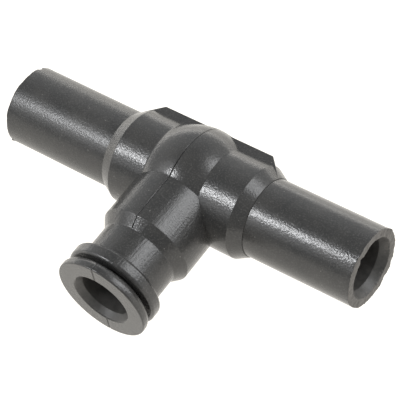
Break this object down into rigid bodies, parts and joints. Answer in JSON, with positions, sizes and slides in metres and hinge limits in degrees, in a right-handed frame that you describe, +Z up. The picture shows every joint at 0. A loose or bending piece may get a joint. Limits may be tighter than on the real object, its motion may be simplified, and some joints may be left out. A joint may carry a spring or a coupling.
{
  "type": "barbed tee connector",
  "caption": "Rubber hose tee: two plain hose tails on a hidden barbed core, a moulded centre body and a short branch ending in a double flange with a panel groove.",
  "frame": {"origin": "on the surface that the tee lies on, under the middle of its outline", "axes": "+X along the hose tails, -Y out of the branch, +Z up"},
  "size_m": [0.0804, 0.0422, 0.0228],
  "materials": {
    "moulded_rubber": "matt satin, fine moulded grain",
    "hose_rubber": "satin, drawn along its length, matt cut ends",
    "insert_nylon": "satin, glass-filled"
  },
  "bodies": {
    "root": {"moulded_body": "moulded_rubber", "left_hose_tail": "hose_rubber", "right_hose_tail": "hose_rubber", "barbed_insert": "insert_nylon"}
  },
  "joints": []
}
